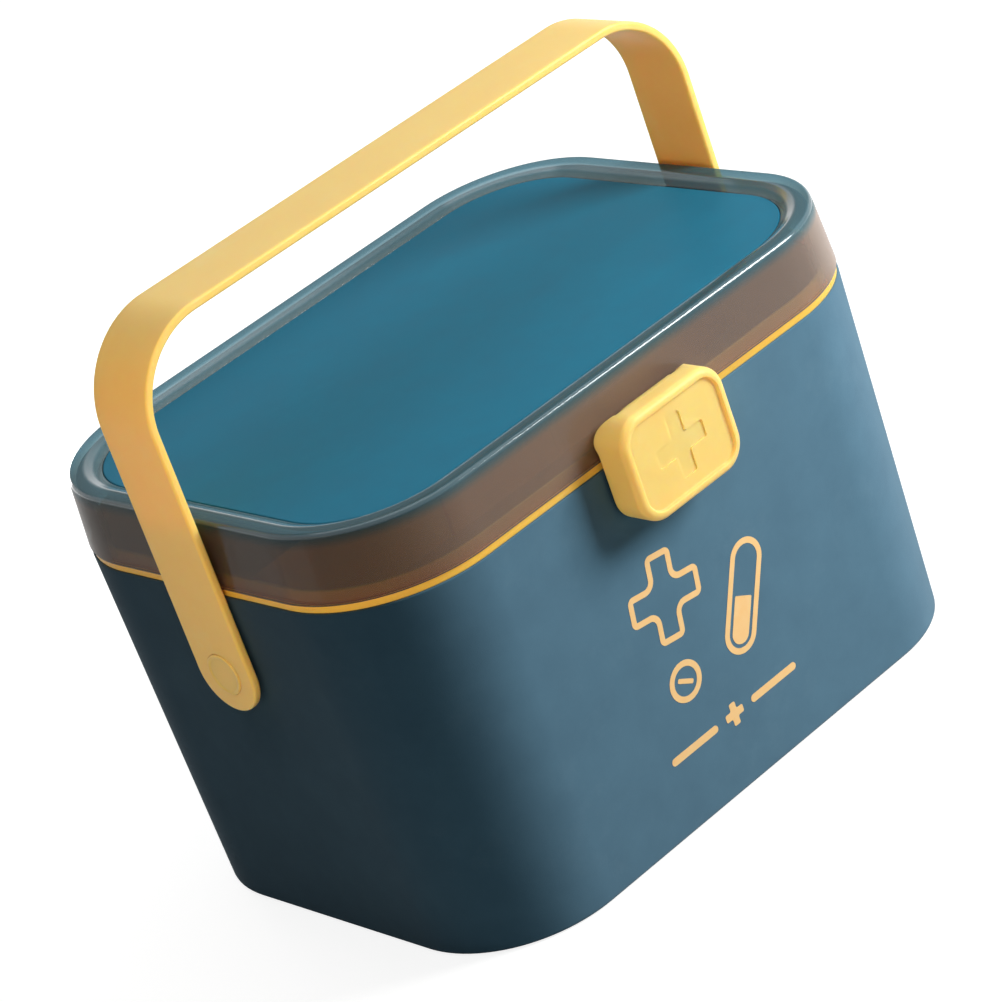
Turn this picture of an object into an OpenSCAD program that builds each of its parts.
// First aid box for the home: a rounded tub with a lift-out tray, a hinged see-through
// lid that carries an opaque top panel, a front latch and a swinging band handle.
// Origin: middle of the base, on the surface that the box stands on.
// +X runs to the right, +Y to the rear and +Z up. All sizes are in millimetres.

/* [Tub] */
// Length of the tub at its rim
body_l = 260; // [240:1:300]
// Depth of the tub at its rim, front to rear
body_w = 194; // [180:1:230]
// Height of the tub from the base to its rim
tub_h = 141.5; // [130:0.5:160]
// Radius of the upright corners at the rim
corner_r = 50; // [42:1:60]
// How far the base stands in from the rim all round
tub_draft = 2.7; // [1:0.1:3.5]
// Wall of the tub
tub_wall = 2.2; // [1.8:0.1:2.4]
// Floor of the tub
tub_floor = 2.6; // [2:0.1:4]
// Width of the ring that the box stands on
foot_w = 9; // [6:0.5:14]
// Height of the hollow under the base, inside the ring
foot_h = 1.2; // [0.8:0.1:1.6]

/* [Tray] */
// Depth of the tray below the tub's rim
tray_depth = 40; // [30:1:48]
// Wall of the tray
tray_wall = 1.8; // [1.4:0.1:2]
// How far the tray narrows down to its floor
tray_draft = 1.5; // [0.5:0.1:2.5]
// Gap between the tray's wall and the tub's wall
tray_gap = 2.1; // [1.8:0.1:3]
// Thickness of the flange that rests on the tub's rim
flange_t = 2.9; // [1.6:0.1:3.2]
// How far the flange stands in from the outside of the rim
flange_inset = 0.6; // [0.5:0.1:1.5]
// Thickness of the walls between the compartments
rib_t = 1.6; // [1.2:0.1:2.4]
// How far those walls stop below the tray's rim
rib_drop = 4; // [2:0.5:8]
// Depth of the long compartment at the front
front_bay_w = 88; // [60:1:110]
// Number of small compartments at the rear
rear_bays = 3; // [2:1:4]
// Length of the lift-out grip in the middle of the tray
grip_l = 56; // [44:1:70]
// Height of the grip above the tray's rim
grip_up = 14; // [12:0.5:16]
// Length of the finger hole in the grip
grip_hole_l = 38; // [30:1:40]
// Height of the finger hole in the grip
grip_hole_h = 11; // [9:0.5:12]

/* [Lid] */
// Height of the lid's skirt with the top ring
lid_h = 26.5; // [24:0.1:32]
// How far the skirt stands out past the tub's rim
lid_out = 0.15; // [0:0.05:0.5]
// How far the lid's top stands in from the foot of its skirt
lid_draft = 1.95; // [1:0.05:3]
// Wall of the lid
lid_wall = 2.2; // [1.8:0.1:2.6]
// Thickness of the lid's top ring
lid_top = 2.4; // [2:0.1:3]
// Width of the clear ring round the panel
ring_w = 12; // [9:0.5:16]
// Width of the slope that leads from the ring down to the panel
ring_slope = 6; // [4:0.5:8]
// How far the panel lies below the ring
panel_drop = 2.8; // [1:0.1:4]
// Thickness of the panel
panel_t = 2; // [1.6:0.1:3]
// Play round the edge of the panel
panel_gap = 0.2; // [0.1:0.05:0.4]
// Width of the ledge that carries the panel
ledge_w = 6; // [4:0.5:9]
// Thickness of that ledge
ledge_t = 1.8; // [1.4:0.1:2.4]
// Length of each snap foot under the panel
snap_l = 14; // [8:1:20]
// Thickness of a snap foot
snap_t = 1.6; // [1.2:0.1:2]
// How far the nose of a snap foot reaches under the ledge
snap_nose = 0.8; // [0.5:0.1:1.2]

/* [Hinges] */
// Distance of each hinge from the middle of the box
hinge_x = 62; // [50:1:68]
// Distance of the hinge axis behind the tub's rim
hinge_out = 5.5; // [5.2:0.1:7]
// Outer radius of a hinge knuckle
knuckle_r = 4.5; // [3.6:0.1:4.6]
// Length of the lid's knuckle
knuckle_l = 18; // [12:1:26]
// Thickness of each ear on the tub
ear_t = 4; // [3:0.25:6]
// Height of the web that carries an ear
ear_web_h = 22; // [14:1:30]
// Gap between the knuckle and an ear
hinge_gap = 0.3; // [0.2:0.05:0.5]
// Radius of a hinge pin
hinge_pin_r = 1.5; // [1.2:0.05:1.8]

/* [Latch] */
// Width of the latch
latch_w = 51; // [46:1:60]
// Depth of the latch, front to rear
latch_d = 13.2; // [12.6:0.1:15]
// Height from the latch's foot to the tub's rim
latch_below = 22.5; // [20:0.5:30]
// Radius of the latch's corners, seen from the front
latch_corner_r = 10.5; // [6:0.5:12]
// Radius of the long edges round the latch's front
latch_edge_r = 3; // [2:0.25:3.5]
// Gap between the latch's back and the rim
latch_back_gap = 1.3; // [1:0.1:2]
// Distance of the latch pin in front of the rim
latch_pin_out = 7; // [6.6:0.1:7.4]
// Height of the latch pin above the foot of the lid's skirt
latch_pin_up = 7.6; // [7.2:0.1:10]
// Radius of the latch pin
latch_pin_r = 1.25; // [1:0.05:1.4]
// Gap between the latch's nose and the skirt that it turns past
latch_gap = 0.4; // [0.3:0.05:0.6]
// Wall of the latch
latch_wall = 2.2; // [1.6:0.1:2.4]
// Width of the rim round the latch's face
face_rim = 3.2; // [2:0.1:5]
// Depth of the face below its rim
face_drop = 1.2; // [0.8:0.1:1.4]
// Span of the plus sign on the face
plus_l = 23.5; // [12:0.5:26]
// Width of the arms of the plus sign
plus_w = 6.8; // [4:0.2:8]
// How deep the plus sign is sunk into the face
plus_deep = 0.5; // [0.3:0.1:0.8]
// Width of the catch on the tub and of the latch's hook
catch_w = 30; // [24:1:34]
// How far the catch stands out of the rim
catch_out = 4.5; // [3.5:0.1:5]
// Thickness of the catch
catch_t = 3; // [2:0.1:4]
// Height from the catch's underside to the tub's rim
catch_below = 14.5; // [12:0.5:16]
// Thickness of the hook
hook_t = 4; // [3:0.25:5]
// Gap between hook and catch
hook_gap = 0.3; // [0.2:0.05:0.5]

/* [Handle] */
// Distance of the handle's axis below the tub's rim
handle_below = 31.2; // [22:0.1:35]
// Height of the handle's top above its axis
handle_h = 129.5; // [120:0.5:150]
// Width of the band
band_w = 30; // [24:1:34]
// Thickness of the band
band_t = 3.3; // [2.4:0.1:4]
// Outer radius of the band's two bends
bend_r = 34; // [20:1:45]
// Gap between the tub's rim and each leg of the handle
leg_gap = 1; // [0.8:0.1:2.5]
// Radius of the boss on the tub that each leg turns against
boss_r = 11; // [9:0.5:13]
// Play between a boss and the leg
boss_gap = 0.2; // [0.1:0.05:0.4]
// Radius of the studs that hold the handle
stud_r = 5; // [4:0.1:5.5]
// Radius of a stud's flat head
stud_head_r = 8.2; // [7:0.1:9]
// Thickness of a stud's head
stud_head_t = 1.2; // [0.9:0.1:1.6]
// How far the head is let into the leg
head_sink = 0.7; // [0.4:0.1:1]
// How far the barbs of a stud reach past its hole
barb_out = 0.9; // [0.6:0.1:1.1]
// Thickness of the barbs
barb_t = 1.3; // [1:0.1:1.4]
// Gap between the barbs and the inside of the tub
barb_gap = 0.35; // [0.3:0.05:0.4]
// Width of the slots that let a stud spring in
stud_slot = 1.6; // [1:0.1:2]

/* [Fits] */
// Radial play of a pin in a bore that turns on it
run_fit = 0.05; // [0.03:0.01:0.1]
// Play round a stud's head in the leg
head_play = 0.15; // [0.1:0.05:0.3]
// Overlap that fuses two shapes of one piece
weld = 1; // [0.6:0.1:1.4]

/* [Hidden] */
$fn = 96;
cut = 1;

// Every outline is a rounded rectangle about the same four corner axes
axis_x = body_l / 2 - corner_r;
axis_y = body_w / 2 - corner_r;

// Radii about the corner axes and heights of the main levels
base_r = corner_r - tub_draft;
lid_z = tub_h + flange_t;
lid_top_z = lid_z + lid_h;
skirt_r = corner_r + lid_out;
top_r = skirt_r - lid_draft;
tray_r = corner_r - tub_wall - tray_gap;
tray_z = tub_h - tray_depth;
well_r = top_r - ring_w;
panel_z = lid_top_z - panel_drop - panel_t;

// Outer radius of the tub and of the skirt at a given height
function tub_r_at(z) = base_r + tub_draft * z / tub_h;
function skirt_r_at(z) = skirt_r - lid_draft * (z - lid_z) / lid_h;

// Hinge axis
hinge_y = axis_y + corner_r + hinge_out;
hinge_z = lid_z - 0.8;
ear_x = knuckle_l / 2 + hinge_gap;

// Latch pin and faces of the latch
latch_y = -(axis_y + corner_r + latch_pin_out);
latch_z = lid_z + latch_pin_up;
nose_r = -latch_y - axis_y - skirt_r_at(latch_z) - latch_gap;
latch_back = -(axis_y + corner_r + latch_back_gap);
latch_front = latch_back - latch_d;
latch_bottom = tub_h - latch_below;
latch_top = latch_z + nose_r;
latch_h = latch_top - latch_bottom;
face_y = latch_front + face_drop;
cavity_y = face_y + latch_wall - 0.4;
lug_r = 4;
lid_ear_r = 3.6;
lid_ear_t = 4;
lid_ear_x = 12;
ear_gap = 0.6;
lug_t = 2.6;
lug_x = lid_ear_x + lid_ear_t + 1;
catch_z = tub_h - catch_below;
catch_y = -(axis_y + corner_r + catch_out);

// Handle
handle_z = tub_h - handle_below;
leg_x = body_l / 2 + leg_gap;
band_x = leg_x + band_t;
boss_x = leg_x - boss_gap;
stud_bore_r = stud_r + run_fit;
head_x = band_x - head_sink;
wall_in_x = axis_x + tub_r_at(handle_z) - tub_wall;
barb_x = wall_in_x - barb_gap;

// Rounded slab about the corner axes, with radius r0 at z0 and r1 at z1.
// One edge profile is turned round the corners and drawn along the two ends.
module slab(r0, r1, z0, z1) {
    h = z1 - z0;
    edge = [[0, 0], [r0, 0], [r1, h], [0, h]];
    translate([0, 0, z0]) {
        for (sx = [0, 1], sy = [0, 1])
            mirror([sx, 0, 0]) mirror([0, sy, 0])
                translate([axis_x, axis_y, 0]) rotate_extrude(angle = 90) polygon(edge);
        both_sides() translate([axis_x, 0, 0])
            rotate([90, 0, 0]) linear_extrude(2 * axis_y, center = true) polygon(edge);
        rotate([90, 0, 90])
            linear_extrude(2 * axis_x, center = true)
                trapezium(axis_y + r0, axis_y + r1, h);
    }
}

// Flat profile with half widths a at its foot and b at its top
module trapezium(a, b, h) {
    polygon([[-a, 0], [a, 0], [b, h], [-b, h]]);
}

// Round bar along X, centred on x = 0
module bar_x(r, l) {
    rotate([0, 90, 0]) cylinder(r = r, h = l, center = true);
}

// Block between two opposite corners
module block(a, b) {
    translate(a) cube(b - a);
}

// Profile in the YZ plane, extruded along X and centred on x = 0
module slice_x(l, points) {
    rotate([90, 0, 90]) linear_extrude(l, center = true) polygon(points);
}

// Both sides of the box
module both_sides() {
    for (side = [0, 1]) mirror([side, 0, 0]) children();
}

module tub() {
    color("steelblue")
    difference() {
        union() {
            slab(base_r, corner_r, 0, tub_h);
            both_sides() {
                handle_boss();
                hinge_ears();
            }
            latch_catch();
        }
        slab(tub_r_at(tub_floor) - tub_wall, corner_r - tub_wall + tub_draft * cut / tub_h,
             tub_floor, tub_h + cut);
        slab(base_r - foot_w, base_r - foot_w, -cut, foot_h);
        both_sides() translate([boss_x, 0, handle_z]) bar_x(stud_r + run_fit, 4 * corner_r / 5);
    }
}

// Round boss on the end wall, which the handle's leg turns against
module handle_boss() {
    x0 = axis_x + tub_r_at(handle_z) - tub_wall / 2;
    translate([x0, 0, handle_z])
        rotate([0, 90, 0]) cylinder(r = boss_r, h = boss_x - x0);
}

// Two ears on the rear wall, either side of the lid's knuckle
module hinge_ears() {
    wall_y = axis_y + corner_r - weld;
    for (side = [-1, 1])
        translate([hinge_x + side * (ear_x + ear_t / 2), 0, 0])
            difference() {
                union() {
                    translate([0, hinge_y, hinge_z]) bar_x(knuckle_r, ear_t);
                    slice_x(ear_t, [[wall_y, hinge_z - ear_web_h], [hinge_y + knuckle_r, hinge_z],
                                    [hinge_y - knuckle_r, hinge_z], [wall_y, tub_h - weld]]);
                }
                translate([0, hinge_y, hinge_z]) bar_x(hinge_pin_r + run_fit, ear_t + cut);
            }
}

// Catch below the rim, with a sloping top that the hook rides over
module latch_catch() {
    wall_y = -(axis_y + tub_r_at(catch_z)) + weld;
    slice_x(catch_w, [[wall_y, catch_z], [catch_y, catch_z], [catch_y, catch_z + catch_t / 2],
                      [wall_y, catch_z + catch_t + catch_out / 2]]);
}

module tray() {
    floor_r = tray_r - tray_draft;
    rib_top = tub_h - rib_drop;
    color("gold")
    difference() {
        union() {
            slab(floor_r, tray_r, tray_z, tub_h);
            slab(corner_r - flange_inset, corner_r - flange_inset, tub_h, lid_z);
            tray_grip();
        }
        difference() {
            slab(floor_r - tray_wall, tray_r - tray_wall + tray_draft * flange_t / tray_depth,
                 tray_z + tray_wall, lid_z + cut / 4);
            tray_ribs(rib_top);
            tray_grip();
        }
    }
}

// Walls between the compartments: one along the tray and the rest across its rear
module tray_ribs(top) {
    half_l = axis_x + tray_r;
    half_w = axis_y + tray_r;
    rib_y = front_bay_w - half_w;
    bay_l = 2 * half_l / rear_bays;
    block([-half_l, rib_y, tray_z], [half_l, rib_y + rib_t, top]);
    for (i = [1 : rear_bays - 1])
        translate([i * bay_l - half_l, 0, 0])
            block([-rib_t / 2, rib_y, tray_z], [rib_t / 2, half_w, top]);
}

// Raised tab with a finger hole, to lift the tray out
module tray_grip() {
    grip_y = front_bay_w - axis_y - tray_r;
    top = lid_z + grip_up;
    hole_z = top - grip_hole_h / 2 - 4;
    translate([0, grip_y + rib_t / 2, 0])
        difference() {
            union() {
                block([-grip_l / 2, -rib_t, tray_z], [grip_l / 2, rib_t, top - 6]);
                block([6 - grip_l / 2, -rib_t, tray_z], [grip_l / 2 - 6, rib_t, top]);
                both_sides() translate([grip_l / 2 - 6, 0, top - 6])
                    rotate([90, 0, 0]) cylinder(r = 6, h = 2 * rib_t, center = true);
            }
            both_sides() translate([(grip_hole_l - grip_hole_h) / 2, 0, hole_z])
                rotate([90, 0, 0]) cylinder(d = grip_hole_h, h = 4 * rib_t, center = true);
            block([-(grip_hole_l - grip_hole_h) / 2, -2 * rib_t, hole_z - grip_hole_h / 2],
                  [(grip_hole_l - grip_hole_h) / 2, 2 * rib_t, hole_z + grip_hole_h / 2]);
        }
}

module lid_shell() {
    inner_r = skirt_r - lid_wall;
    ceiling_z = lid_top_z - lid_top;
    ledge_z = panel_z - ledge_t;
    color("slategray", 0.6)
    difference() {
        union() {
            difference() {
                slab(skirt_r, top_r, lid_z, lid_top_z);
                slab(inner_r, skirt_r_at(ceiling_z) - lid_wall, lid_z - cut / 4, ceiling_z);
            }
            slab(well_r + lid_wall, well_r + lid_wall, ledge_z, ceiling_z + lid_top / 2);
            slab(well_r + lid_wall, well_r + ring_slope,
                 ceiling_z - panel_drop * (1 - lid_wall / ring_slope), ceiling_z + lid_top / 4);
            both_sides() hinge_knuckle();
            both_sides() latch_ear();
        }
        slab(well_r, well_r, panel_z, panel_z + panel_t + panel_drop / 2);
        slab(well_r, well_r + ring_slope * (1 + cut / panel_drop), panel_z + panel_t, lid_top_z + cut);
        slab(well_r - ledge_w, well_r - ledge_w, ledge_z - cut, panel_z + cut);
    }
}

// Knuckle on the skirt's rear that turns between two ears
module hinge_knuckle() {
    wall_y = axis_y + skirt_r_at(lid_z + 2 * knuckle_r) - lid_wall / 2;
    translate([hinge_x, 0, 0])
        difference() {
            union() {
                translate([0, hinge_y, hinge_z]) bar_x(knuckle_r, knuckle_l);
                slice_x(knuckle_l, [[wall_y, lid_z + 1.5 * weld], [hinge_y, hinge_z - knuckle_r],
                                    [hinge_y, hinge_z + knuckle_r], [wall_y, lid_z + 2 * knuckle_r]]);
            }
            translate([0, hinge_y, hinge_z]) bar_x(hinge_pin_r + run_fit, knuckle_l + cut);
        }
}

// Ear on the skirt's front that carries the latch pin
module latch_ear() {
    wall_y = -(axis_y + skirt_r_at(lid_z + lid_ear_r)) + lid_wall / 2;
    translate([lid_ear_x + lid_ear_t / 2, 0, 0])
        difference() {
            union() {
                translate([0, latch_y, latch_z]) bar_x(lid_ear_r, lid_ear_t);
                slice_x(lid_ear_t, [[wall_y, lid_z + 0.3], [wall_y, lid_z + 4.2],
                                    [latch_y + lid_ear_r - 0.2, latch_z + 0.5],
                                    [latch_y, latch_z - lid_ear_r]]);
            }
            translate([0, latch_y, latch_z]) bar_x(latch_pin_r + run_fit, lid_ear_t + cut);
        }
}

module lid_panel() {
    panel_r = well_r - panel_gap;
    color("steelblue") {
        slab(panel_r, panel_r, panel_z, panel_z + panel_t);
        for (side = [0, 1]) {
            mirror([side, 0, 0]) translate([axis_x, 0, 0]) snap_foot();
            mirror([0, side, 0]) rotate(90)
                for (x = [-axis_x, axis_x] * 0.6)
                    translate([axis_y, x, 0]) snap_foot();
        }
    }
}

// Snap foot under the panel that hooks below the ledge, facing +X
module snap_foot() {
    edge = well_r - ledge_w - panel_gap;
    foot_z = panel_z - ledge_t - panel_gap;
    rotate([90, 0, 0]) linear_extrude(snap_l, center = true)
        polygon([[edge - snap_t, panel_z + panel_t / 2], [edge, panel_z + panel_t / 2], [edge, foot_z],
                 [edge + snap_nose, foot_z], [edge, foot_z - snap_t], [edge - snap_t, foot_z - snap_t]]);
}

// Hinge pin with a flat head on its outer end
module hinge_pin() {
    half = ear_x + ear_t;
    translate([hinge_x, hinge_y, hinge_z]) {
        bar_x(hinge_pin_r, 2 * half + 1);
        translate([half + 0.75, 0, 0]) bar_x(2 * hinge_pin_r, 1);
    }
}

module hinge_pin_left() {
    color("silver") mirror([1, 0, 0]) hinge_pin();
}

module hinge_pin_right() {
    color("silver") hinge_pin();
}

module latch() {
    color("khaki")
    difference() {
        intersection() {
            latch_side_profile(latch_w);
            latch_front_outline(0, latch_front - cut, latch_back + 3 * cut);
        }
        difference() {
            latch_front_outline(latch_wall, cavity_y, latch_back + 5);
            both_sides() translate([lug_x + lug_t / 2, 0, 0]) latch_lug();
            latch_hook();
        }
        latch_front_outline(face_rim, latch_front - cut, face_y);
        plus_sign();
        bar_at_latch_pin(latch_pin_r + run_fit, 2 * (lug_x + lug_t) + cut);
        both_sides()
            block([lid_ear_x - ear_gap, latch_y + 1.5, latch_z],
                  [lid_ear_x + lid_ear_t + ear_gap, latch_back + 5, latch_top + cut]);
        block([-catch_w / 2 - ear_gap, catch_y - hook_gap, latch_bottom - cut],
              [catch_w / 2 + ear_gap, latch_back + 5, catch_z]);
    }
}

// Bar along the latch pin's axis
module bar_at_latch_pin(r, l) {
    translate([0, latch_y, latch_z]) bar_x(r, l);
}

// Latch seen from the side: round nose behind, rounded edges in front
module latch_side_profile(l) {
    e = latch_edge_r;
    slice_x(l, [[latch_back, latch_bottom], [latch_back, latch_z], [latch_y, latch_top],
                [latch_front + e, latch_top], [latch_front, latch_top - e],
                [latch_front, latch_bottom + e], [latch_front + e, latch_bottom]]);
    bar_at_latch_pin(nose_r, l);
    for (z = [latch_bottom + e, latch_top - e])
        translate([0, latch_front + e, z]) bar_x(e, l);
}

// Latch seen from the front, drawn in by the given amount, from y0 to y1
module latch_front_outline(inset, y0, y1) {
    r = latch_corner_r - inset / 2;
    half_w = latch_w / 2 - inset;
    z0 = latch_bottom + inset;
    z1 = latch_top - inset;
    block([-half_w, y0, z0 + r], [half_w, y1, z1 - r]);
    block([r - half_w, y0, z0], [half_w - r, y1, z1]);
    for (x = [r - half_w, half_w - r], z = [z0 + r, z1 - r])
        translate([x, y0, z]) rotate([-90, 0, 0]) cylinder(r = r, h = y1 - y0);
}

// Lug inside the latch that takes the pin
module latch_lug() {
    translate([0, latch_y, latch_z]) bar_x(lug_r, lug_t);
    block([-lug_t / 2, cavity_y - cut, latch_z - lug_r], [lug_t / 2, latch_y, latch_z + lug_r]);
}

// Hook along the inside of the latch, below the catch
module latch_hook() {
    top = catch_z - hook_gap;
    slice_x(catch_w, [[cavity_y - cut, top - hook_t - 1], [cavity_y - cut, top],
                      [catch_y - hook_gap, top], [catch_y - hook_gap, top - hook_t / 2],
                      [catch_y - hook_gap - 2, top - hook_t]]);
}

// Plus sign that is sunk into the latch's face
module plus_sign() {
    mid = (latch_top + latch_bottom) / 2;
    y1 = face_y + plus_deep;
    block([-plus_l / 2, face_y - cut, mid - plus_w / 2], [plus_l / 2, y1, mid + plus_w / 2]);
    block([-plus_w / 2, face_y - cut, mid - plus_l / 2], [plus_w / 2, y1, mid + plus_l / 2]);
}

module latch_pin() {
    color("silver") bar_at_latch_pin(latch_pin_r, 2 * (lug_x + lug_t));
}

module handle() {
    bend_x = band_x - bend_r;
    bend_z = handle_z + handle_h - bend_r;
    color("khaki")
    difference() {
        union() {
            both_sides() {
                translate([leg_x + band_t / 2, 0, handle_z]) bar_x(band_w / 2, band_t);
                block([leg_x, -band_w / 2, handle_z], [band_x, band_w / 2, bend_z]);
                translate([bend_x, 0, bend_z]) rotate([90, 0, 0])
                    rotate_extrude(angle = 90)
                        translate([bend_r - band_t, -band_w / 2]) square([band_t, band_w]);
            }
            block([-bend_x, -band_w / 2, bend_z + bend_r - band_t],
                  [bend_x, band_w / 2, bend_z + bend_r]);
        }
        both_sides() translate([0, 0, handle_z]) {
            stud_disc(stud_bore_r, leg_x - cut, band_x);
            stud_disc(stud_head_r + head_play, head_x, band_x + cut);
        }
    }
}

// Snap stud: flat head outside the leg, barbs inside the tub, split in four
module handle_stud() {
    color("khaki")
    translate([0, 0, handle_z])
        difference() {
            union() {
                stud_disc(stud_head_r, head_x, head_x + stud_head_t);
                stud_disc(stud_r, barb_x - barb_t, head_x + stud_head_t / 2);
                stud_disc(stud_r + barb_out, barb_x - barb_t, barb_x);
            }
            for (turn = [0, 90]) rotate([turn, 0, 0])
                block([barb_x - barb_t - cut, -stud_slot / 2, -2 * stud_r],
                      [leg_x - band_t / 2, stud_slot / 2, 2 * stud_r]);
            stud_disc(stud_r / 2, barb_x - barb_t - cut, leg_x);
        }
}

// Round disc about the handle's axis between two values of x
module stud_disc(r, x0, x1) {
    translate([x0, 0, 0]) rotate([0, 90, 0]) cylinder(r = r, h = x1 - x0);
}

module handle_stud_left() {
    mirror([1, 0, 0]) handle_stud();
}

module handle_stud_right() {
    handle_stud();
}

tub();
tray();
lid_shell();
lid_panel();
hinge_pin_left();
hinge_pin_right();
latch();
latch_pin();
handle();
handle_stud_left();
handle_stud_right();
